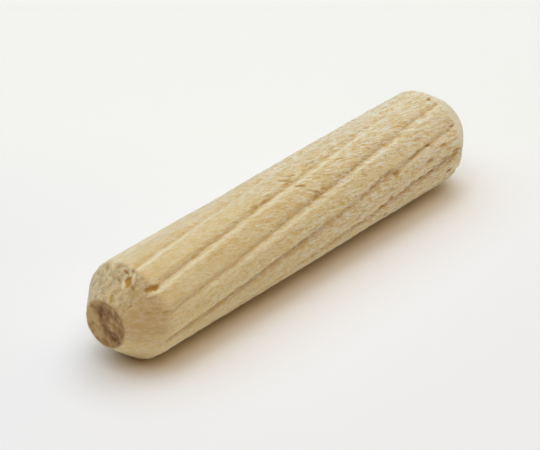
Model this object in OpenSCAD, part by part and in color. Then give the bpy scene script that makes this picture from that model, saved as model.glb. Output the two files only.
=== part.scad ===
// Spiral-fluted wooden dowel pin, lying on its side with its axis along X.
// The lands between the flutes grip the hole. The flutes wind round the pin and run
// out through both chamfers, so that air and surplus glue can leave past the ends.

/* [Pin] */
// Diameter over the lands, the size of the hole it is glued in
pin_diameter = 8; // [7:0.5:12]
// Length from end face to end face
pin_length = 40; // [25:1:80]

/* [Front end] */
// Length of the front chamfer, measured along the axis
front_chamfer = 2.65; // [1.5:0.05:5]
// Diameter of the flat front face
front_face = 3.75; // [2.5:0.05:5]
// Radius that softens the front shoulder
front_shoulder = 2.4; // [0.5:0.1:4]

/* [Back end] */
// Length of the back chamfer, measured along the axis
back_chamfer = 2.2; // [1.5:0.05:5]
// Diameter of the flat back face
back_face = 4.95; // [2.5:0.05:5.5]
// Radius that softens the back shoulder
back_shoulder = 2.6; // [0.5:0.1:4]

/* [Flutes] */
// Number of flutes round the pin
flute_count = 11; // [6:1:14]
// Width of a flute at the surface of the lands
flute_width = 1.2; // [0.8:0.05:1.3]
// Depth of a flute below the lands
flute_depth = 0.28; // [0.25:0.01:0.6]
// Depth at which the gentle upper flank turns into the steep lower one
flank_depth = 0.1; // [0.06:0.01:0.2]
// Width of a flute at that depth
flank_width = 0.66; // [0.4:0.02:0.7]
// Width of the narrow floor of a flute
floor_width = 0.14; // [0.05:0.01:0.3]
// Length along the axis of one whole left-handed turn of a flute
flute_lead = 244; // [120:1:600]
// Direction of the first flute half-way along the pin, in degrees
flute_phase = 33; // [0:0.5:60]

/* [Hidden] */
$fn = 96;

pin_radius = pin_diameter / 2;

// slope of each chamfer against the axis
front_slope = atan((pin_radius - front_face / 2) / front_chamfer);
back_slope = atan((pin_radius - back_face / 2) / back_chamfer);

// how far each softened shoulder reaches from its corner, within its own chamfer
front_reach = min(front_shoulder * tan(front_slope / 2), 0.9 * front_chamfer / cos(front_slope));
back_reach = min(back_shoulder * tan(back_slope / 2), 0.9 * back_chamfer / cos(back_slope));

// the flute cutters stand this far outside the lands and past both end faces
cutter_over = 0.15;
cutter_past = 0.5;
cutter_run = pin_length + 2 * cutter_past;

// point at a distance along the straight line from a to b
function towards(a, b, distance) = a + (b - a) * distance / norm(b - a);

// soft corner between the lines from a and to b: a curve that touches both
function soft_corner(a, corner, b, reach, steps) =
    let(p = towards(corner, a, reach), q = towards(corner, b, reach))
    [for (i = [0 : steps]) let(t = i / steps)
        pow(1 - t, 2) * p + 2 * t * (1 - t) * corner + pow(t, 2) * q];

// half of the plain pin's outline: radius across, distance from the front face up
function pin_outline() =
    let(
        front_edge = [front_face / 2, 0],
        front_corner = [pin_radius, front_chamfer],
        back_corner = [pin_radius, pin_length - back_chamfer],
        back_edge = [back_face / 2, pin_length])
    concat(
        [[0, 0], front_edge],
        soft_corner(front_edge, front_corner, back_corner, front_reach, 6),
        soft_corner(front_corner, back_corner, back_edge, back_reach, 6),
        [back_edge, [0, pin_length]]);

// half width of the cutter outside the lands, in line with the upper flank
cutter_half = flute_width / 2 + cutter_over * (flute_width - flank_width) / 2 / flank_depth;

// cross-section of one flute, a blunt V that points at the axis
module flute_section() {
    polygon([
        [pin_radius + cutter_over, -cutter_half],
        [pin_radius + cutter_over, cutter_half],
        [pin_radius - flank_depth, flank_width / 2],
        [pin_radius - flute_depth, floor_width / 2],
        [pin_radius - flute_depth, -floor_width / 2],
        [pin_radius - flank_depth, -flank_width / 2]]);
}

// one flute, wound left-handed round the axis past both end faces
module flute() {
    half_turn = 180 * cutter_run / flute_lead;
    rotate([0, 0, flute_phase + half_turn])
        linear_extrude(height = cutter_run, twist = 2 * half_turn, slices = 16, segments = 0)
            flute_section();
}

// the plain turned pin, standing on its front face
module plain_pin() {
    rotate_extrude() polygon(pin_outline());
}

// the whole pin, one piece of wood
module dowel_pin() {
    color("#d8be8a")
        translate([-pin_length / 2, 0, pin_radius])
            rotate([0, 90, 0])
                difference() {
                    plain_pin();
                    translate([0, 0, -cutter_past])
                        for (i = [0 : flute_count - 1])
                            rotate([0, 0, 360 * i / flute_count]) flute();
                }
}

dowel_pin();
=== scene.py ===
# Spiral-fluted dowel pin: one piece of raw beech, lying on a pale table.
import math
from types import SimpleNamespace
import bpy
import numpy as np
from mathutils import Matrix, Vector


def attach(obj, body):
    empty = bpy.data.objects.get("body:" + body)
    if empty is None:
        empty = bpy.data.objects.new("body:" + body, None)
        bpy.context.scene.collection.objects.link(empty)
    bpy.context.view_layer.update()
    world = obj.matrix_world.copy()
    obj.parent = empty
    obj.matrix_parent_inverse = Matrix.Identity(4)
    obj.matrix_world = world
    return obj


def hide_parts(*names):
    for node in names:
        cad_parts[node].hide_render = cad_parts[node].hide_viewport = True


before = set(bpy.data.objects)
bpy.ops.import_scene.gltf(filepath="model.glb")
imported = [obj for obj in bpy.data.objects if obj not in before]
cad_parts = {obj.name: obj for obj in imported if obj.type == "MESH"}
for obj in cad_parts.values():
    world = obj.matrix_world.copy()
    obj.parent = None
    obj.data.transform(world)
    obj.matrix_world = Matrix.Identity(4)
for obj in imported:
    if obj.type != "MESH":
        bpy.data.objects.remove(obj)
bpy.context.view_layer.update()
print("frame loaded")

mm = 0.001    # every size below is in millimetres


def linearColour(hexCode):
    # each sRGB channel c turned to linear light: ((c + 0.055) / 1.055) ^ 2.4, or c / 12.92 in the darks
    channels = [int(hexCode[i:i + 2], 16) / 255 for i in (1, 3, 5)]
    return tuple(((c + 0.055) / 1.055) ** 2.4 if c > 0.04045 else c / 12.92 for c in channels) + (1.0,)


def addNode(tree, kind, settings):
    # one node: each setting is an option of its own, a socket's value, or an output that feeds the socket
    node = tree.nodes.new(kind)
    for name, value in settings.items():
        if isinstance(value, bpy.types.NodeSocket):
            tree.links.new(value, node.inputs[name])
        elif isinstance(name, str) and hasattr(node, name):
            setattr(node, name, value)
        else:
            node.inputs[name].default_value = value
    return node


def smooth(low, high, value):
    # 0 below low, 1 above high, and 3t^2 - 2t^3 between them
    t = np.clip((value - low) / (high - low), 0, 1)
    return t * t * (3 - 2 * t)


def between(rise, fall, value):
    # 0 before the rise, 1 after it and up to the fall, 0 again after that
    return smooth(*rise, value) * (1 - smooth(*fall, value))


def mix(a, b, share):
    return a + (b - a) * share


def cornerValue(i, j, k, seed):
    # a whole-number hash of one corner of the noise lattice, as a value from 0 to 1
    h = (i * 374761393 + j * 668265263 + k * 1274126177 + seed * 97843051) & 0xffffffff
    h = ((h ^ (h >> 13)) * 1274126177) & 0xffffffff
    h = h ^ (h >> 16)
    return (h & 0xffffff) / 0xffffff


def woodNoise(points, cell, seed):
    # value noise from 0 to 1: the eight corner values round each point, blended with 3t^2 - 2t^3
    q = points / np.array(cell, float)
    base = np.floor(q).astype(np.int64)
    t = q - base
    t = t * t * (3 - 2 * t)
    total = np.zeros(q.shape[:-1])
    for corner in np.ndindex(2, 2, 2):
        share = np.prod(np.where(np.array(corner) == 1, t, 1 - t), axis=-1)
        at = base + np.array(corner)
        total += share * cornerValue(at[..., 0], at[..., 1], at[..., 2], seed)
    return total


# camera

cameraPlace = {
    "aim": (-1.080, 0.176, 4.0),     # point that the middle of the view falls on
    "azimuth": -49.908,
    "elevation": 29.918,
    "distance": 253.43,
    "lens": 220.0,                   # on a sensor 36 wide
}


def makeCamera(place):
    # stands at aim + distance * (sin a cos e, -cos a cos e, sin e) and looks back at the aim
    a, e = math.radians(place["azimuth"]), math.radians(place["elevation"])
    back = Vector((math.sin(a) * math.cos(e), -math.cos(a) * math.cos(e), math.sin(e)))
    data = bpy.data.cameras.new("camera")
    data.lens, data.sensor_width = place["lens"], 36.0
    data.clip_start, data.clip_end = 0.01, 20.0
    camera = bpy.data.objects.new("camera", data)
    bpy.context.collection.objects.link(camera)
    camera.location = (Vector(place["aim"]) + back * place["distance"]) * mm
    camera.rotation_euler = (-back).to_track_quat("-Z", "Y").to_euler()
    bpy.context.scene.camera = camera


makeCamera(cameraPlace)
print("camera placed")


# the pin's form: places along it are distances from the front face, directions are degrees from the
# top towards +Y, negative on the camera side, and a pair is where a change starts and ends

pinForm = {
    "radius": 4.0,
    "length": 40.0,
    "frontChamfer": 2.65,            # along the axis
    "frontFace": 1.875,              # radius of the flat front face
    "frontShoulder": 0.34,           # reach of the soft corner between chamfer and shaft
    "backChamfer": 2.2,
    "backFace": 2.475,
    "backShoulder": 0.34,
    "faceEdge": 0.16,                # reach of the worn edge round each face
    "columns": 30,                   # per flute, closer together in the flute than on the land
    "columnPull": 0.42,
    "rowsPerMm": 5.0,                # on the shaft
    "rowsAtEnds": 9.0,               # on the chamfers and faces and round the crack
    "frontRows": (3.4, 4.6),
    "backRows": (3.0, 4.2),          # from the back face
    "crackRows": ((18.9, 19.4), (21.8, 22.3)),
    "shaftFront": (1.8, 3.2),        # where the shaft's own detail starts, from the front face
    "shaftBack": (0.8, 2.2),         # and from the back face
    "faceTilt": (0.75, 0.98),        # how squarely a face looks along the axis, and a chamfer
    "chamferTilt": (0.10, 0.55),
}

pinForm["flutes"] = {
    "count": 11,
    "twist": 360 / 244,              # degrees round the pin for each mm along it, left-handed
    "phase": -49.36,                 # direction of one flute at mid-length
    "lower": 9.8,                    # width of a flute's lower wall, in degrees round the pin
    "upper": 7.0,                    # and of its steeper upper wall
    "depth": 0.255,
    "wander": 0.9,                   # degrees that its middle strays, in long waves and in short ones
    "pressed": (0.85, 1.08),         # least and most of the depth, and of the width
    "widened": (0.92, 1.12),
    "shallower": 0.14,               # share of the depth that is lost at the back
    "shallowAlong": (24, 30),
    "fray": (1.4, 2.0),              # degrees that fibres push its edge, at the front and at the back
    "runOut": 0.16,                  # rounding of the edge where it runs out on a chamfer
    "runOutFront": (2.2, 3.6),
    "runOutBack": (1.8, 3.0),
    "low": (64, 88),                 # degrees down the camera side where flutes turn to the low kind:
    "lowShift": 2.0,                 # that much further up, wider below and narrower above
    "lowWider": 0.2,
    "lowNarrower": 0.35,
    # the zones below are in turn: a painted highlight on a flute's lower wall, which faces up to the lamps, with
    # paler pressed fibres; painted shade in a flute; painted shade in a low flute, where the land above shades
    # it; and a painted highlight on the ridge above a low flute
    "lipHighlight": ((-1.2, -0.75), (-0.45, -0.12)),         # zones across it: 0 at its middle, -1 and 1 where
    "hollowShade": ((-0.25, 0.10), (0.35, 0.85)),        # its lower and upper walls end
    "lowFluteShade": ((-0.9, -0.15), (0.15, 0.55)),
    "above": ((0.75, 1.25), (1.6, 3.0)),
    "valley": 0.55,
    "hollowShadeShare": 0.3,              # how dark the painted shade in a flute is, beside that in a low flute
}

pinForm["grain"] = {
    "direction": (0.975, -0.155, -0.155),    # the fibres run out of the pin towards the camera side
    "slopeFront": (-0.19, -0.02),    # how far the fibres move in Y and Z for each mm along, at the front
    "slopeBack": (-0.26, -0.12),     # and behind it
    "slopeTurns": (6, 14),
    "side": (0.74, 0.93),            # |sin| of the direction where fibres start to slope into the pin
    "sideReach": 0.9,                # how deep the noises reach there
    "wave": 0.030,                   # height of the long soft waves
    "sunk": 0.03,                    # how far the whole shaft lies below the plain cylinder
    "fibreFront": 0.040,             # height of the fibre relief at the front and at the back
    "fibreBack": 0.080,
    "fibreTurns": (6, 34),
    "longShare": 0.6,                # share of long fibres at the back
    "longTurns": (22, 36),
    "ragged": (92, 112),             # degrees down where the back's fibres stand twice as high
    "tearDepth": 0.07,
    "tearLevel": 1.10,               # fibres come out where a noise passes this, less the three below
    "tearValley": 0.15,              # in the valleys of the low back
    "tearPatch": 0.09,               # in patches of the low back
    "tearBack": 0.02,
    "tearAlong": (18, 31),
    "chamferLumps": 0.05,
    "faceSink": 0.04,                # how far the broken front face lies back, and its roughness
    "faceRough": 0.16,
}

# shares of paler and browner wood, with painted light on the flank, the underside and the top towards the far
# side
pinForm["zones"] = {
    "flank": (38, 75),               # paler down the camera side: painted light, with pale fuzz
    "flankShare": 0.50,
    # paler underside: painted light bounced up from the table
    "under": (106, 124),
    "underAtEnds": 0.3,
    "backRim": (36.7, 37.4),
    "crownAlong": (30, 36),          # a pale patch on top near the back end
    "crownTurn": (-12, 8),
    "patchShare": 0.5,               # strength of the rim and the crown
    "brownMiddle": -78,              # brown patch on the front chamfer and shoulder
    "brownCosine": (0.35, 1.10),
    "brownTurn": (-128, -100),
    "brownAlong": (2.1, 3.5),
    "paintedSheenTurn": (-20, 35),       # painted sheen: paler, grey-white wood on the top towards the far side
    "paintedSheenAlong": (2.0, 2.9),
    "topHalf": (-0.35, 0.1),         # cosine of the direction where the crown and the painted sheen end
}

# marks on this pin: place along and direction, half length and half width, depth, lean of
# the long side off the fibres in degrees, and shares of the mark colours; the marks named Shade are painted
# shade over a shallow dent, beside a raised chip, flake, sliver or splinter, or at the foot of the pocket
pinForm["marks"] = {
    "pocket": dict(at=1.72, turn=-14.5, long=0.44, wide=0.22, deep=0.18, lean=52, amber=1.0, rim=0.3),
    "pocketRoof": dict(at=2.16, turn=-3.5, long=0.10, wide=0.36, deep=0.09, lean=0, amber=0.9, dark=0.5),
    "pocketShade": dict(at=1.60, turn=-24.5, long=0.11, wide=0.30, deep=0.06, lean=8, amber=0.7, dark=0.4),
    "pocketSpot": dict(at=1.56, turn=-1.4, long=0.12, wide=0.13, deep=0.10, lean=0, amber=0.3, dark=0.60),
    "pocketLump": dict(at=2.60, turn=-5.0, long=0.24, wide=0.24, deep=-0.04, lean=0, pale=0.55),
    "pocketNick": dict(at=2.47, turn=-10.4, long=0.17, wide=0.11, deep=0.12, lean=30, amber=0.5, dark=0.50),
    "leftShade": dict(at=2.30, turn=28.6, long=0.34, wide=0.20, deep=0.05, lean=40, amber=0.3, dark=0.25),
    "leftChip": dict(at=2.40, turn=19.5, long=0.30, wide=0.16, deep=0.04, lean=40, pale=0.6),
    "topShade": dict(at=2.30, turn=9.0, long=0.20, wide=0.30, deep=0.04, lean=10, amber=0.5, dark=0.22),
    "amberStreak": dict(at=0.40, turn=-8.9, long=0.36, wide=0.14, deep=0.05, lean=52, amber=0.9),
    "amberSpot": dict(at=1.01, turn=-8.9, long=0.15, wide=0.10, deep=0.03, lean=0, amber=0.5),
    "lowSpot": dict(at=0.83, turn=-44.3, long=0.13, wide=0.11, deep=0.04, lean=0, amber=0.6, dark=0.2),
    "lowStreak": dict(at=1.59, turn=-64.2, long=0.26, wide=0.08, deep=0.04, lean=0, amber=0.6, dark=0.2),
    "shoulderStreak": dict(at=2.64, turn=-70.5, long=0.34, wide=0.10, deep=0.03, lean=0, amber=0.8, dark=0.1),
    "notch": dict(at=2.62, turn=-40.6, long=0.68, wide=0.23, deep=0.15, lean=2, amber=1.0, dark=0.05),
    "notchLip": dict(at=2.50, turn=-46.8, long=0.62, wide=0.14, deep=-0.04, lean=2, pale=1.0),
    "crackUpper": dict(at=19.74, turn=-10.5, long=0.60, wide=0.14, deep=0.10, lean=-25, amber=0.9, dark=0.22),
    "flake": dict(at=20.95, turn=-11.5, long=0.85, wide=0.19, deep=-0.05, lean=20, pale=1.0),
    "flakeShade": dict(at=20.45, turn=-7.6, long=0.50, wide=0.11, deep=0.06, lean=-10, amber=0.8, dark=0.1),
    "crackLower": dict(at=20.25, turn=-25.1, long=0.50, wide=0.15, deep=0.09, lean=-22, amber=0.9, dark=0.30),
    "splinter": dict(at=21.00, turn=-36.4, long=0.85, wide=0.14, deep=-0.04, lean=-23, pale=1.0),
    "splinterShade": dict(at=21.05, turn=-40.0, long=0.95, wide=0.11, deep=0.06, lean=-23, amber=0.8, dark=0.12),
    "splinterFoot": dict(at=20.95, turn=-44.6, long=0.34, wide=0.13, deep=0.04, lean=-10, amber=0.5, dark=0.25),
    "sliver": dict(at=17.42, turn=-12.9, long=0.42, wide=0.11, deep=-0.04, lean=0, pale=1.0),
    "sliverShade": dict(at=17.20, turn=-15.6, long=0.34, wide=0.08, deep=0.04, lean=0, amber=0.7, dark=0.15),
    "wallTearA": dict(at=15.34, turn=-20.0, long=0.42, wide=0.20, deep=0.03, lean=0, amber=0.5),
    "wallTearB": dict(at=16.45, turn=-19.6, long=0.36, wide=0.11, deep=0.04, lean=10, amber=0.7, dark=0.1),
    "wallTearC": dict(at=22.99, turn=-6.1, long=0.62, wide=0.12, deep=0.08, lean=10, amber=0.7, dark=0.20),
    "endNick": dict(at=37.37, turn=-12.6, long=0.20, wide=0.17, deep=0.18, lean=30, amber=0.9, dark=0.35),
    "endTan": dict(at=37.15, turn=-47.5, long=0.50, wide=0.24, deep=0.03, lean=10, amber=0.4),
    "endLine": dict(at=37.35, turn=-55.0, long=0.40, wide=0.08, deep=0.04, lean=0, amber=0.8, dark=0.35),
    "pitA": dict(at=34.02, turn=-60.2, long=0.40, wide=0.10, deep=0.04, lean=0, amber=1.0, dark=0.5),
    "pitBand": dict(at=32.60, turn=-62.2, long=1.30, wide=0.14, deep=0.04, lean=17, amber=0.5, dark=0.12),
    "pitB": dict(at=30.98, turn=-64.2, long=0.30, wide=0.10, deep=0.04, lean=10, amber=0.25, dark=0.12),
    "pitC": dict(at=35.63, turn=-69.3, long=0.40, wide=0.09, deep=0.02, lean=10, amber=0.9, dark=0.35),
    "pitD": dict(at=34.38, turn=-90.1, long=0.36, wide=0.13, deep=0.06, lean=0, amber=0.8, dark=0.7),
    "pitE": dict(at=33.75, turn=-92.8, long=0.60, wide=0.15, deep=0.07, lean=-4, amber=0.9, dark=0.6),
    "pitF": dict(at=36.44, turn=-107.8, long=0.45, wide=0.18, deep=0.06, lean=10, amber=0.7, dark=0.7),
    "pitG": dict(at=28.62, turn=-95.8, long=0.34, wide=0.22, deep=0.06, lean=22, amber=0.9, dark=0.65),
    "pitH": dict(at=27.74, turn=-100.4, long=0.40, wide=0.22, deep=0.05, lean=10, amber=1.0, dark=0.35),
    "pocketLeft": dict(at=1.50, turn=-10.5, long=0.38, wide=0.13, deep=-0.02, lean=52, pale=0.9),
    "pocketRight": dict(at=2.02, turn=-18.0, long=0.36, wide=0.11, deep=-0.02, lean=52, pale=0.55),
    "wedge": dict(at=26.70, turn=-69.2, long=0.45, wide=0.13, deep=0.07, lean=12, amber=0.9, dark=0.45),
    "wedgeBand": dict(at=28.90, turn=-64.4, long=0.90, wide=0.22, deep=0.06, lean=14, amber=0.45, dark=0.18),
    "lowTearA": dict(at=33.81, turn=-78.5, long=0.42, wide=0.14, deep=0.06, lean=5, amber=0.6, dark=0.45),
    "lowTearB": dict(at=35.68, turn=-85.7, long=0.60, wide=0.13, deep=0.04, lean=5, amber=0.8, dark=0.5),
    "lowTearC": dict(at=37.05, turn=-84.0, long=0.60, wide=0.15, deep=0.04, lean=8, amber=0.9, dark=0.4),
    "lowTearD": dict(at=32.72, turn=-93.7, long=0.40, wide=0.18, deep=0.06, lean=8, amber=0.6, dark=0.50),
    "lowTearE": dict(at=31.43, turn=-92.2, long=0.45, wide=0.16, deep=0.05, lean=8, amber=0.6, dark=0.35),
    "underTear": dict(at=28.63, turn=-120.5, long=0.30, wide=0.25, deep=0.05, lean=0, amber=0.6, dark=0.50),
    "spotA": dict(at=30.92, turn=-47.0, long=0.36, wide=0.08, deep=0.02, lean=0, amber=0.8, dark=0.1),
    "spotB": dict(at=33.30, turn=-48.0, long=0.50, wide=0.08, deep=0.02, lean=5, amber=0.8, dark=0.15),
    "wedgeShade": dict(at=27.60, turn=-66.5, long=0.90, wide=0.24, deep=0.05, lean=28, amber=0.35, dark=0.12),
}

# the broken front face: patches by place on the face (towards +Y, up), reach, height and tone; the patches that
# sink are darker: the broken end grain's own dark tone, with painted shade in its crevices
pinForm["facePatches"] = {
    "band": dict(y=0.30, z=0.20, reach=(0.30, 0.95), lean=-24, high=-0.03, tone=0.40),
    "bandFoot": dict(y=-0.42, z=-0.62, reach=(0.26, 0.70), lean=-32, high=-0.05, tone=0.42),
    "topShade": dict(y=-0.65, z=0.95, reach=(0.55, 0.28), lean=30, high=-0.02, tone=0.34),
    "tan": dict(y=0.55, z=-0.28, reach=(0.28, 0.36), lean=-20, high=0.08, tone=-0.42),
    "leftStrip": dict(y=1.55, z=-0.10, reach=(0.42, 1.20), lean=0, high=0.05, tone=-0.36),
    "lowerTan": dict(y=0.55, z=-1.20, reach=(0.70, 0.34), lean=0, high=0.05, tone=-0.34),
    "deepCorner": dict(y=-1.25, z=-1.15, reach=(0.42, 0.30), lean=20, high=-0.14, tone=0.50),
    "greyBreak": dict(y=-0.80, z=0.10, reach=(0.45, 0.55), lean=0, high=0.05, tone=-0.12),
}


def pinOutline(form):
    # points (distance from the front face, radius) along half the pin's section, each corner
    # replaced by the curve (1-t)^2 p + 2t(1-t) corner + t^2 q, then spaced by rows wanted per mm
    length, radius, edge = form["length"], form["radius"], form["faceEdge"]
    corners = np.array([
        (0, 0), (0, form["frontFace"]), (form["frontChamfer"], radius),
        (length - form["backChamfer"], radius), (length, form["backFace"]), (length, 0)], float)
    reach = [0, edge, form["frontShoulder"], form["backShoulder"], edge, 0]
    t = np.linspace(0, 1, 13)[:, None]
    line = [corners[:1]]
    for i in range(1, 5):
        before, corner, after = corners[i - 1], corners[i], corners[i + 1]
        p = corner + (before - corner) * reach[i] / np.linalg.norm(before - corner)
        q = corner + (after - corner) * reach[i] / np.linalg.norm(after - corner)
        line.append((1 - t) ** 2 * p + 2 * t * (1 - t) * corner + t ** 2 * q)
    line.append(corners[5:])
    line = np.concatenate(line)
    run = np.concatenate([[0], np.cumsum(np.linalg.norm(np.diff(line, axis=0), axis=1))])
    fine = np.linspace(0, run[-1], 6000)
    along = np.interp(fine, run, line[:, 0])
    atEnds = 1 - smooth(*form["frontRows"], along) * smooth(*form["backRows"], length - along)
    close = np.maximum(atEnds, between(*form["crackRows"], along))
    rows = np.cumsum(mix(form["rowsPerMm"], form["rowsAtEnds"], close)) * (fine[1] - fine[0])
    where = np.interp(np.linspace(rows[0], rows[-1], int(rows[-1]) + 1), rows, fine)
    where[0], where[-1] = 0, run[-1]
    return np.stack([np.interp(where, run, line[:, 0]), np.interp(where, run, line[:, 1])], axis=1)


def flutePositions(form):
    # angles of the columns: equal steps t over each pitch, moved by -k sin(2 pi t) / (2 pi) towards the flute
    t = (np.arange(form["columns"]) + 0.5) / form["columns"] - 0.5
    count = form["flutes"]["count"]
    pitch = 360 / count
    within = pitch * (t - form["columnPull"] * np.sin(2 * np.pi * t) / (2 * np.pi))
    return (np.arange(count)[:, None] * pitch + within[None, :]).ravel(), np.tile(within, count)


def layOutGrid(form):
    # rows of the outline times columns bound to the flutes: direction = phase + column + twist * x;
    # g holds one array for each value, and the later steps add theirs to it
    flutes, grain = form["flutes"], form["grain"]
    g = SimpleNamespace()
    outline = pinOutline(form)
    columns, within = flutePositions(form)
    g.along, g.rim = outline[:, :1], outline[:, 1:]
    g.toBack = form["length"] - g.along
    g.x = g.along - form["length"] / 2
    step = np.gradient(outline, axis=0)
    step /= np.linalg.norm(step, axis=1, keepdims=True)
    g.normalX, g.normalR = -step[:, 1:], step[:, :1]        # outward, across the outline
    g.within = within[None, :]
    g.flute = np.round((columns - within) / (360 / flutes["count"])).astype(int)[None, :]
    g.turn = flutes["phase"] + columns[None, :] + flutes["twist"] * g.x
    g.signed = (g.turn + 180) % 360 - 180
    g.across, g.up = np.sin(np.radians(g.turn)), np.cos(np.radians(g.turn))
    g.cameraSide = g.across < 0

    # fibre coordinates: the place in the pin less the fibres' own drift, so that noise follows the grain
    turned = smooth(*grain["slopeTurns"], g.along)
    slope = mix(np.array(grain["slopeFront"]), np.array(grain["slopeBack"]), turned)
    drift = np.cumsum(slope * np.gradient(g.along, axis=0), axis=0)
    y, z = g.rim * g.across - drift[:, :1], g.rim * g.up - drift[:, 1:]
    g.fibre = np.stack([g.x + 0 * g.turn, y, z], axis=-1)
    g.fibreAxis = np.array(grain["direction"], float)
    g.fibreAxis /= np.linalg.norm(g.fibreAxis)

    # how far each point is part of the back, the shaft, a face, a chamfer, the side and a low flute
    g.back = smooth(*grain["fibreTurns"], g.along)
    g.onShaft = smooth(*form["shaftFront"], g.along) * smooth(*form["shaftBack"], g.toBack)
    g.frontFace, g.backFace = smooth(*form["faceTilt"], -g.normalX), smooth(*form["faceTilt"], g.normalX)
    g.onChamfer = smooth(*form["chamferTilt"], np.abs(g.normalX)) * (1 - g.frontFace) * (1 - g.backFace)
    g.side = smooth(*grain["side"], np.abs(g.across))
    g.low = smooth(*flutes["low"], np.abs(g.signed)) * g.cameraSide
    return g


def pressFlutes(g, form):
    # a flute is depth * (1 - t)^1.5 deep, t being the distance from its middle over the width of that
    # wall; it wanders a little, and is pressed deeper and wider in some places than in others
    flutes = form["flutes"]
    # ride keeps the flutes apart, so that each has noise of its own
    ride = np.stack([g.x + 0 * g.turn, g.flute * 7.3 + 0 * g.turn, 0 * g.turn], axis=-1)
    strays = (woodNoise(ride, (5.0, 1.0, 1.0), 3) - 0.5) + (woodNoise(ride, (1.1, 1.0, 1.0), 4) - 0.5)
    pressed = mix(*flutes["pressed"], woodNoise(ride, (7.0, 1.0, 1.0), 5))
    pressed = pressed * (1 - flutes["shallower"] * smooth(*flutes["shallowAlong"], g.along))
    frayed = 0.5 * woodNoise(g.fibre, (0.9, 0.20, 0.20), 7) + woodNoise(g.fibre, (0.5, 0.13, 0.13), 8) - 0.75
    offset = g.within - flutes["wander"] * strays + mix(*flutes["fray"], g.back) * frayed
    offset = offset - flutes["lowShift"] * g.low
    lower = flutes["lower"] * (1 + flutes["lowWider"] * g.low)
    upper = flutes["upper"] * (1 - flutes["lowNarrower"] * g.low)
    widened = mix(*flutes["widened"], woodNoise(ride, (6.0, 1.0, 1.0), 6))
    g.offset = offset / (np.where(offset < 0, lower, upper) * widened)
    t = np.clip(np.sqrt(g.offset ** 2 + 0.004), 0, 1)
    cut = form["radius"] - flutes["depth"] * pressed * (1 - t) ** 1.5

    # the smaller of rim and cut, with the edge between them rounded on the chamfers
    onLand = smooth(*flutes["runOutFront"], g.along) * smooth(*flutes["runOutBack"], g.toBack)
    blend = flutes["runOut"] * (1 - onLand) + 1e-6
    h = np.clip(0.5 + 0.5 * (cut - g.rim) / blend, 0, 1)
    g.radius = np.minimum(cut + (g.rim - cut) * h - blend * h * (1 - h), g.rim)
    g.inFlute = smooth(0.0, 0.10, g.rim - g.radius) * g.onShaft


def addMarks(g, form):
    # each mark is an ellipse q = (u / long)^2 + (v / wide)^2 in mm on the surface, its long side along the
    # fibres plus its own lean, u and v pushed about by noise; it sinks by deep * (1 - q)^0.7
    slope = np.degrees(np.arctan2(g.fibreAxis[1] * g.up - g.fibreAxis[2] * g.across, g.fibreAxis[0]))
    pushU = 0.6 * (woodNoise(g.fibre, (0.40, 0.16, 0.16), 31) - 0.5)
    pushV = 0.8 * (woodNoise(g.fibre, (0.30, 0.16, 0.16), 32) - 0.5)
    g.depth, g.amber, g.dark, g.pale = (np.zeros(g.turn.shape) for i in range(4))
    for mark in form["marks"].values():
        lean = np.radians(slope + mark["lean"])
        du = g.along - mark["at"]
        dv = g.rim * np.radians((g.turn - mark["turn"] + 180) % 360 - 180)
        u = du * np.cos(lean) + dv * np.sin(lean) + mark["long"] * pushU
        v = dv * np.cos(lean) - du * np.sin(lean) + mark["wide"] * pushV
        q = (u / mark["long"]) ** 2 + (v / mark["wide"]) ** 2
        g.depth += mark["deep"] * np.clip(1 - q, 0, 1) ** 0.7
        g.amber = np.maximum(g.amber, mark.get("amber", 0) * (1 - smooth(0.4, 1.3, q)))
        g.dark = np.maximum(g.dark, mark.get("dark", 0) * (1 - smooth(0.1, 1.0, q)))
        g.pale = np.maximum(g.pale, mark.get("pale", 0) * (1 - smooth(0.4, 1.2, q)))
        g.pale = np.maximum(g.pale, mark.get("rim", 0) * between((0.9, 1.3), (1.6, 2.8), q))


def raiseFibres(g, form):
    # inward depth of the relief: long soft waves, fibres that stand up more towards the back, tears
    # where fibres came out, and lumps on the sawn chamfers
    flutes, grain = form["flutes"], form["grain"]

    def strands(length, width, seed):
        # noise along the fibres, not cut short at the sides, where they slope into the pin
        deep = woodNoise(g.fibre, (length, grain["sideReach"], width), seed + 60)
        return mix(woodNoise(g.fibre, (length, width, width), seed), deep, g.side)

    wave = grain["wave"] * (woodNoise(g.fibre, (7.0, 1.6, 1.6), 11) - 0.5) * 2
    short = 0.5 * strands(0.52, 0.20, 12) + 0.5 * strands(0.36, 0.15, 13)
    long = 0.5 * strands(2.2, 0.22, 16) + 0.5 * strands(1.1, 0.15, 17)
    share = grain["longShare"] * smooth(*grain["longTurns"], g.along)
    g.raised = (mix(short, long, share) - 0.5) * 2.2         # about -1 to 1
    ragged = 1 + g.back * smooth(*grain["ragged"], np.abs(g.signed))
    fibres = mix(grain["fibreFront"], grain["fibreBack"], g.back) * ragged * g.raised

    lowBack = smooth(*grain["tearAlong"], g.along) * smooth(-0.05, 0.75, -g.across)
    lowBack = lowBack * (1 - smooth(0.75, 0.95, -g.up))
    valley = np.exp(-(g.offset / flutes["valley"]) ** 2) * g.onShaft
    easier = grain["tearValley"] * valley + grain["tearPatch"] * woodNoise(g.fibre, (4.0, 1.1, 1.1), 15)
    level = grain["tearLevel"] - lowBack * easier - grain["tearBack"] * g.back
    g.torn = smooth(level - 0.12, level + 0.04, woodNoise(g.fibre, (1.6, 0.19, 0.19), 14)) * g.onShaft
    g.amber = np.maximum(g.amber, 0.75 * g.torn)
    g.dark = np.maximum(g.dark, mix(0.06, 0.3, lowBack) * g.torn ** 2)

    lumps = woodNoise(g.fibre, (0.7, 0.42, 0.42), 22) + 0.7 * woodNoise(g.fibre, (0.34, 0.2, 0.2), 23) - 0.85
    g.inward = (wave - fibres + grain["sunk"]) * g.onShaft + grain["tearDepth"] * g.torn + g.depth
    g.inward = g.inward + grain["chamferLumps"] * lumps * g.onChamfer


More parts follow.
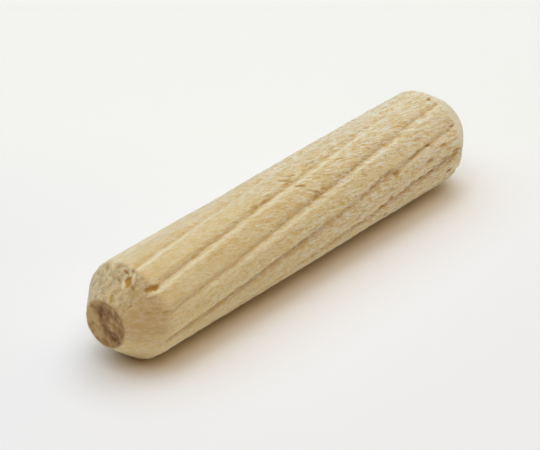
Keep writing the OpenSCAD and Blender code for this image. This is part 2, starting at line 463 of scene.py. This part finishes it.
def breakFrontFace(g, form):
    # broken off rather than cut: patches of tone and height, each exp(-(a / reach)^2 - (b / reach)^2)
    # in its own leaning axes a and b, and crumbs over all of it; where it sinks it is also darker: its own dark
    # end grain, with painted shade in the crevices
    grain, edge = form["grain"], form["frontFace"]
    y, z = g.radius * g.across, g.radius * g.up
    tone, lift = 0.50 + 0 * g.turn, 0 * g.turn
    for patch in form["facePatches"].values():
        lean = math.radians(patch["lean"])
        py, pz = y - patch["y"], z - patch["z"]
        a = py * math.cos(lean) + pz * math.sin(lean)
        b = pz * math.cos(lean) - py * math.sin(lean)
        weight = np.exp(-(a / patch["reach"][0]) ** 2 - (b / patch["reach"][1]) ** 2)
        tone, lift = tone + patch["tone"] * weight, lift + patch["high"] * weight
    turned = g.fibre @ np.array([(1, 0, 0), (0, 0.82, 0.57), (0, -0.57, 0.82)])      # off the lattice
    crumbs = 0.45 * woodNoise(turned, (0.5, 0.42, 0.42), 41) + 0.35 * woodNoise(g.fibre, (0.3, 0.26, 0.26), 42)
    crumbs = crumbs + 0.20 * woodNoise(turned, (0.2, 0.17, 0.17), 43)
    inner = 1 - smooth(0.75 * edge, edge, g.rim)
    sunk = grain["faceSink"] + grain["faceRough"] * crumbs - lift
    g.inward = g.inward + g.frontFace * sunk * mix(0.3, 1, inner)
    # darker where the crumbs sink: painted shade in the crevices, over the end grain's own tone
    g.stain = np.clip(tone + 1.4 * (crumbs - 0.5), 0.02, 1)
    outside = g.rim - edge + 0.2 * (crumbs - 0.5)
    g.face = (1 - smooth(-0.08, 0.10, outside)) * (g.along < 1)


def paintWood(g, form):
    # the values that the material reads, each from 0 to 1
    flutes, zones = form["flutes"], form["zones"]
    # painted light in the flutes: a highlight on the lower wall that faces up to the lamps, with paler pressed
    # fibres; shade in a flute and in a low flute; a highlight on the ridge above a low flute
    lipHighlight = (1 - g.low) * between(*flutes["lipHighlight"], g.offset) * g.inFlute
    hollowShade = (1 - g.low) * between(*flutes["hollowShade"], g.offset) * g.inFlute
    lowFluteShade = g.low * between(*flutes["lowFluteShade"], g.offset) * g.onShaft
    above = g.low * between(*flutes["above"], g.offset)

    # paler wood: painted light down the flank, with pale fuzz, strongest above the low flutes as a painted
    # highlight on their ridges; the back rim and the crown; and painted light bounced up from the table onto the
    # underside
    down, share = np.abs(g.signed), zones["flankShare"]
    flank = smooth(*zones["flank"], down) * g.cameraSide * (share + (1 - share) * above)
    backRim = zones["patchShare"] * smooth(*zones["backRim"], g.along) * (1 - g.backFace)
    crown = zones["patchShare"] * smooth(*zones["crownAlong"], g.along) * smooth(*zones["crownTurn"], g.signed)
    onTop = smooth(*zones["topHalf"], g.up)
    under = smooth(*zones["under"], down) * g.cameraSide * mix(zones["underAtEnds"], 1, g.onShaft)
    fuzzAndPaintedLight = np.maximum(flank * (1 - lowFluteShade) * g.onShaft, backRim)
    fuzzAndPaintedLight = np.maximum(np.maximum(fuzzAndPaintedLight, crown * onTop), under)

    # brown falls off with the cosine of the way round from its middle, and noise breaks it up
    brown = smooth(*zones["brownCosine"], np.cos(np.radians(g.turn - zones["brownMiddle"])))
    brown = brown * (1 - smooth(*zones["brownAlong"], g.along)) * (1 - g.frontFace)
    brown = brown * smooth(*zones["brownTurn"], g.signed)
    brown = brown * smooth(0.0, 0.5, woodNoise(g.fibre, (1.4, 0.6, 0.6), 51))
    # painted sheen: paler, whiter wood on the top towards the far side, past the front chamfer
    paintedSheen = smooth(*zones["paintedSheenTurn"], g.signed) * onTop * smooth(*zones["paintedSheenAlong"], g.along)

    # end grain shows by how squarely the surface cuts the fibres
    axis = g.fibreAxis
    cutAcross = np.abs(g.normalX * axis[0] + g.normalR * (g.across * axis[1] + g.up * axis[2]))
    values = {
        "side": g.side, "fuzzAndPaintedLight": fuzzAndPaintedLight, "brown": brown, "paintedSheen": paintedSheen, "lipHighlight": lipHighlight,
        "hollowShade": np.clip(flutes["hollowShadeShare"] * hollowShade + lowFluteShade, 0, 1),
        "backCut": smooth(0.08, 0.28, g.normalX) * (1 - g.backFace),
        "endGrain": smooth(0.30, 0.80, cutAcross),
        "face": g.face, "stain": g.stain, "amber": g.amber, "dark": g.dark, "pale": g.pale,
        "raised": np.clip(0.5 + 0.5 * g.raised - 0.6 * g.torn, 0, 1),
        "along": g.along / form["length"],
    }
    return {key: np.broadcast_to(value, g.turn.shape) for key, value in values.items()}


def makePin(form):
    # each point of the grid moves inward by the relief, and never past the plain cylinder and end planes
    g = layOutGrid(form)
    pressFlutes(g, form)
    addMarks(g, form)
    raiseFibres(g, form)
    breakFrontFace(g, form)
    half = form["length"] / 2
    x = np.clip(g.x - g.normalX * g.inward, -half, half)
    r = np.clip(g.radius - g.normalR * g.inward, 0, form["radius"])
    points = np.stack([x, r * g.across, r * g.up + form["radius"]], axis=-1)
    return points, g.fibre, paintWood(g, form)


def gridMesh(name, points, fibre, values):
    # rows times columns of points, closed round the pin; the first and last rows shrink to one point each
    rows, cols = points.shape[:2]
    body = points[1:-1].reshape(-1, 3)
    ends = np.stack([points[0].mean(0), points[-1].mean(0)])
    verts = np.concatenate([body, ends]) * mm
    inner = rows - 2
    index = np.arange(inner * cols).reshape(inner, cols)
    right = np.roll(index, -1, axis=1)
    quads = np.stack([index[:-1], index[1:], right[1:], right[:-1]], axis=-1).reshape(-1, 4)
    first, last = inner * cols, inner * cols + 1
    caps = np.concatenate([
        np.stack([np.full(cols, first), index[0], right[0]], axis=-1),
        np.stack([np.full(cols, last), right[-1], index[-1]], axis=-1)])
    mesh = bpy.data.meshes.new(name)
    mesh.vertices.add(len(verts))
    mesh.vertices.foreach_set("co", verts.ravel())
    loops = np.concatenate([quads.ravel(), caps.ravel()])
    starts = np.concatenate([np.arange(len(quads)) * 4, len(quads) * 4 + np.arange(len(caps)) * 3])
    mesh.loops.add(len(loops))
    mesh.loops.foreach_set("vertex_index", loops)
    mesh.polygons.add(len(starts))
    mesh.polygons.foreach_set("loop_start", starts)
    mesh.update(calc_edges=True)
    mesh.validate()
    mesh.polygons.foreach_set("use_smooth", np.ones(len(mesh.polygons), bool))
    for key, grid in values.items():
        layer = mesh.attributes.new(key, "FLOAT", "POINT")
        flat = np.concatenate([grid[1:-1].ravel(), [grid[0].mean(), grid[-1].mean()]])
        layer.data.foreach_set("value", flat.astype(np.float32))
    layer = mesh.attributes.new("fibre", "FLOAT_VECTOR", "POINT")
    flat = np.concatenate([fibre[1:-1].reshape(-1, 3), [fibre[0].mean(0), fibre[-1].mean(0)]])
    layer.data.foreach_set("vector", flat.astype(np.float32).ravel())
    piece = bpy.data.objects.new(name, mesh)
    bpy.context.collection.objects.link(piece)
    return piece


points, fibre, values = makePin(pinForm)
dowelPin = gridMesh("dowelPin", points, fibre, values)
print("pin made:", len(dowelPin.data.vertices), "points,",
      2 * len(dowelPin.data.polygons) - 2 * points.shape[1], "triangles")


# raw beech, rolled and sawn but never sanded: pale, matt and open-fibred, and a little light enters it;
# sawn ends are darker and greyer, and torn fibres leave ochre and near-white strokes

beechLook = {
    "colours": {
        # some of these colours are painted light: the shade in the flutes, the pale flank and underside, the
        # sheen on the top towards the far side and on the back chamfer
        "pale": "#eeddb2", "warm": "#e5c98e", "pinkish": "#ebd0a6", "yellowish": "#edce7c",
        "cream": "#fdf4d2", "paintedSheen": "#f0e9d8", "flank": "#fff3c2", "lipPale": "#fbedc0",
        "splinter": "#fffcee", "tan": "#d2a442", "sawn": "#c2a773", "sawnPale": "#e6d3a6",
        "sawnBackAndSheen": "#fff5d2", "sawnWarm": "#c0995a", "hollowShade": "#b98f50", "amber": "#c6973e",
        "dark": "#8c5f2c", "stainPale": "#cfb17b", "stain": "#ad864f", "stainDeep": "#754919",
    },
    # length along the fibres and width across them, detail, roughness, shift to its own part of the
    # pattern, and whether it isn't cut short at the sides; fuzz and strokes are drawn coarser than
    # real fibres, so that they show
    "noises": {
        "broad": (5.0, 1.2, 2.0, 0.5, 0.0, False),
        "pinks": (0.70, 0.34, 3.0, 0.7, 13.0, False),
        "streak": (4.0, 0.22, 3.0, 0.65, 71.0, False),
        "mottle": (0.60, 0.40, 4.0, 0.72, 23.0, False),
        "yellows": (0.36, 0.15, 3.0, 0.7, 37.0, True),
        "fleck": (0.55, 0.16, 4.0, 0.70, 5.0, True),
        "fuzz": (0.26, 0.085, 2.0, 0.7, 91.0, True),
        "paleStroke": (0.75, 0.13, 1.0, 0.5, 117.0, True),
        "tanStroke": (0.85, 0.14, 1.0, 0.5, 131.0, True),
    },
    "sideReach": 0.9,                # depth of the noises at the sides, as in the relief
    "sideShift": 19.0,
    # weighted sums of values
    "sums": {
        "height": (("raised", 0.24), ("fleck", 0.38), ("fuzz", 0.38)),
        "relief": (("fleck", 0.5), ("fuzz", 0.5)),
    },
    # products of turns: a value, where its turn starts and ends, and the strength there
    "strengths": {
        "back": (("along", 0.50, 0.92, 0.0, 1.0),),
        "rough": (("endGrain", 0.05, 0.6, 1.0, 0.95), ("along", 0.15, 0.7, 0.5, 1.15),
                  ("backCut", 0.1, 0.8, 1.0, 0.55)),
        "torn": (("along", 0.15, 0.62, 0.0, 1.0), ("backCut", 0.1, 0.8, 1.0, 0.55)),
    },
    # each stack is a ground colour and the layers over it: colour, the value that brings it in, where
    # that starts and ends, how much it covers there, and the strength that scales it
    "stacks": {
        "sawnGrain": ("sawn", (("sawnPale", "mottle", 0.42, 0.60, 1.0, None),)),
        "brokenFace": ("stainPale", (
            ("stain", "stain", 0.1, 0.5, 1.0, None),
            ("stainDeep", "stain", 0.5, 1.0, 1.0, None))),
        "wood": ("pale", (
            ("warm", "broad", 0.34, 0.66, 0.8, None),
            # painted light on the flank, the ridges above the low flutes and the underside, with pale fuzz
            ("flank", "fuzzAndPaintedLight", 0.0, 1.0, 0.80, None),
            ("pinkish", "pinks", 0.50, 0.64, 0.4, None),
            ("yellowish", "yellows", 0.46, 0.60, 0.75, None),
            ("cream", "streak", 0.42, 0.60, 0.55, "back"),
            ("sawnGrain", "endGrain", 0.05, 0.95, 0.92, None),
            # the back chamfer: pale sawn end grain, made paler still as painted sheen
            ("sawnBackAndSheen", "backCut", 0.0, 1.0, 0.95, None),
            ("sawnWarm", "brown", 0.0, 1.0, 0.42, None),
            # painted shade in the flutes
            ("hollowShade", "hollowShade", 0.1, 1.0, 0.36, None),
            # painted sheen on the top towards the far side
            ("paintedSheen", "paintedSheen", 0.0, 1.0, 0.40, None),
            # painted highlight on the flutes' lower walls, with paler pressed fibres
            ("cream", "lipHighlight", 0.1, 1.0, 0.62, None),
            ("tan", "height", 0.485, 0.40, 0.50, "rough"),          # fibres that lie deep: painted shade in the fibre relief
            ("splinter", "height", 0.515, 0.60, 0.52, "rough"),     # and that stand up: painted highlight on the fibre relief, with the paler tips of raised fibres
            ("tan", "tanStroke", 0.56, 0.68, 0.60, "torn"),
            ("splinter", "paleStroke", 0.56, 0.66, 0.75, "torn"),
            ("lipPale", "pale", 0.0, 1.0, 0.85, None),
            ("amber", "amber", 0.0, 1.0, 0.9, None),
            ("dark", "dark", 0.0, 1.0, 1.0, None),
            ("brokenFace", "face", 0.0, 1.0, 0.95, None))),
    },
    "bump": 0.16,
    "roughness": 0.80,
    "sheen": 0.25,
    "sheenRoughness": 0.35,
    "depthShare": 0.20,              # share of light that enters the wood, and how far it spreads
    "depthReach": (2.0, 1.0, 0.4),
}


def makeBeech(look, carried):
    # the values are those that the mesh carries and noises stretched along the fibres; a layer covers
    # what is under it by share * (value - start) / (end - start), held between 0 and the share
    material = bpy.data.materials.new("rawBeech")
    material.use_nodes = True
    tree = material.node_tree
    tree.nodes.clear()
    fibre = addNode(tree, "ShaderNodeAttribute", {"attribute_name": "fibre"}).outputs["Vector"]
    values = {name: addNode(tree, "ShaderNodeAttribute", {"attribute_name": name}).outputs["Fac"]
              for name in carried}
    side = values["side"]
    rest = addNode(tree, "ShaderNodeMath", {"operation": "SUBTRACT", 0: 1.0, 1: side}).outputs[0]

    for name, (length, width, detail, rough, shift, atSides) in look["noises"].items():
        parts = []
        for share, depth, move in ((rest, width, shift), (side, look["sideReach"], shift + look["sideShift"])):
            place = addNode(tree, "ShaderNodeVectorMath", {
                "operation": "MULTIPLY_ADD", 0: fibre, 1: (1 / length, 1 / depth, 1 / width), 2: (move,) * 3})
            noise = addNode(tree, "ShaderNodeTexNoise", {
                "Scale": 1.0, "Detail": detail, "Roughness": rough, "Vector": place.outputs[0]}).outputs["Fac"]
            if not atSides:
                break
            parts.append(addNode(tree, "ShaderNodeMath", {
                "operation": "MULTIPLY", 0: noise, 1: share}).outputs[0])
        values[name] = noise
        if atSides:
            values[name] = addNode(tree, "ShaderNodeMath", {
                "operation": "ADD", 0: parts[0], 1: parts[1]}).outputs[0]

    for name, parts in look["sums"].items():
        total = None
        for source, weight in reversed(parts):
            part = addNode(tree, "ShaderNodeMath", {
                "operation": "MULTIPLY", 0: values[source], 1: weight}).outputs[0]
            total = part if total is None else addNode(tree, "ShaderNodeMath", {
                "operation": "ADD", 0: part, 1: total}).outputs[0]
        values[name] = total

    for name, turns in look["strengths"].items():
        product = None
        for source, start, end, first, last in turns:
            turn = addNode(tree, "ShaderNodeMapRange", {
                "clamp": True, 0: values[source], 1: start, 2: end, 3: first, 4: last}).outputs[0]
            product = turn if product is None else addNode(tree, "ShaderNodeMath", {
                "operation": "MULTIPLY", 0: product, 1: turn}).outputs[0]
        values[name] = product

    colours = {name: linearColour(code) for name, code in look["colours"].items()}
    for name, (ground, layers) in look["stacks"].items():
        colour = colours[ground]
        for over, source, start, end, share, strength in layers:
            cover = addNode(tree, "ShaderNodeMapRange", {
                "clamp": True, 0: values[source], 1: start, 2: end, 3: 0.0, 4: share}).outputs[0]
            if strength:
                cover = addNode(tree, "ShaderNodeMath", {
                    "operation": "MULTIPLY", 0: cover, 1: values[strength]}).outputs[0]
            colour = addNode(tree, "ShaderNodeMix", {
                "data_type": "RGBA", 0: cover, 6: colour, 7: colours[over]}).outputs[2]
        colours[name] = colour

    bump = addNode(tree, "ShaderNodeBump", {
        "Strength": 1.0, "Distance": look["bump"] * mm, "Height": values["relief"]})
    shader = addNode(tree, "ShaderNodeBsdfPrincipled", {
        "Base Color": colours["wood"], "Roughness": look["roughness"], "IOR": 1.5,
        "Sheen Weight": look["sheen"], "Sheen Roughness": look["sheenRoughness"],
        "Subsurface Weight": look["depthShare"], "Subsurface Radius": look["depthReach"],
        "Subsurface Scale": mm, "Normal": bump.outputs[0]})
    addNode(tree, "ShaderNodeOutputMaterial", {"Surface": shader.outputs[0]})
    return material


dowelPin.data.materials.append(makeBeech(beechLook, list(values)))
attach(dowelPin, "root")
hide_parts("dowel_pin")
print("beech material made")


# table and light

studio = {
    "floorColour": "#faf9f8",
    "floorFarPaintedLight": "#fefdf8",           # painted light: the table paler away from the camera
    "floorAway": (0.765, 0.644, 0.0),
    "floorTurns": (3.0, 22.0),       # distances from the pin's middle, along that direction
    "floorSize": 3000.0,
    "skyLight": 0.098,               # level of the even light from all round
    "skyColour": "#ffd1a3",
    "lamps": {                       # direction from the pin, distance, sizes across, power in watts, colour
        "backSoftbox": ((0.03, 0.45, 1.0), 500.0, (900.0, 540.0), 2.28, "#ddeefe"),
        "topSoftbox": ((0.03, -0.10, 1.0), 500.0, (900.0, 420.0), 1.51, "#f1f7f7"),
        "frontSoftbox": ((0.03, -0.62, 1.0), 500.0, (900.0, 250.0), 0.32, "#ffcb8e"),
        "lowFront": ((-1.0, -0.45, 0.60), 500.0, (300.0, 300.0), 0.10, "#ffc28a"),
        "lowBack": ((1.0, -0.25, 0.60), 500.0, (300.0, 300.0), 0.12, "#ffd6a8"),
    },
}


def makeFloor(look):
    # a plain square; its colour turns paler with the distance along floorAway: painted light, brighter away from
    # the camera
    half = look["floorSize"] / 2 * mm
    corners = [(-half, -half, 0), (half, -half, 0), (half, half, 0), (-half, half, 0)]
    mesh = bpy.data.meshes.new("floor")
    mesh.from_pydata(corners, [], [(0, 1, 2, 3)])
    floor = bpy.data.objects.new("floor", mesh)
    bpy.context.collection.objects.link(floor)
    material = bpy.data.materials.new("tablePaper")
    material.use_nodes = True
    tree = material.node_tree
    near, far = look["floorTurns"]
    place = addNode(tree, "ShaderNodeTexCoord", {})
    away = addNode(tree, "ShaderNodeVectorMath", {
        "operation": "DOT_PRODUCT", 0: place.outputs["Object"], 1: look["floorAway"]})
    share = addNode(tree, "ShaderNodeMapRange", {
        "clamp": True, 0: away.outputs["Value"], 1: near * mm, 2: far * mm})
    paper = addNode(tree, "ShaderNodeMix", {
        "data_type": "RGBA", 0: share.outputs[0],
        6: linearColour(look["floorColour"]), 7: linearColour(look["floorFarPaintedLight"])})
    shader = tree.nodes["Principled BSDF"]
    shader.inputs["Roughness"].default_value = 1.0
    shader.inputs["Specular IOR Level"].default_value = 0.0
    tree.links.new(paper.outputs[2], shader.inputs["Base Color"])
    mesh.materials.append(material)
    return floor


def makeStudio(look):
    # the world lights the scene evenly, and shows as the table's colour beyond its edge
    world = bpy.data.worlds.new("studio")
    bpy.context.scene.world = world
    world.use_nodes = True
    tree = world.node_tree
    tree.nodes.clear()
    sky = addNode(tree, "ShaderNodeBackground", {
        "Color": linearColour(look["skyColour"]), "Strength": look["skyLight"]})
    seen = addNode(tree, "ShaderNodeBackground", {
        "Color": linearColour(look["floorColour"]), "Strength": 1.0})
    path = addNode(tree, "ShaderNodeLightPath", {})
    both = addNode(tree, "ShaderNodeMixShader", {
        0: path.outputs["Is Camera Ray"], 1: sky.outputs[0], 2: seen.outputs[0]})
    addNode(tree, "ShaderNodeOutputWorld", {"Surface": both.outputs[0]})

    # each lamp looks back at the middle of the pin
    for name, (direction, distance, sizes, power, colour) in look["lamps"].items():
        data = bpy.data.lights.new(name, "AREA")
        data.shape, data.size, data.size_y = "RECTANGLE", sizes[0] * mm, sizes[1] * mm
        data.energy, data.color = power, linearColour(colour)[:3]
        lamp = bpy.data.objects.new(name, data)
        bpy.context.collection.objects.link(lamp)
        towards = Vector(direction).normalized()
        lamp.location = (towards * distance + Vector((0, 0, pinForm["radius"]))) * mm
        lamp.rotation_euler = towards.to_track_quat("Z", "Y").to_euler()


floor = makeFloor(studio)
makeStudio(studio)
bpy.context.scene.view_settings.view_transform = "Standard"
print("studio lit")
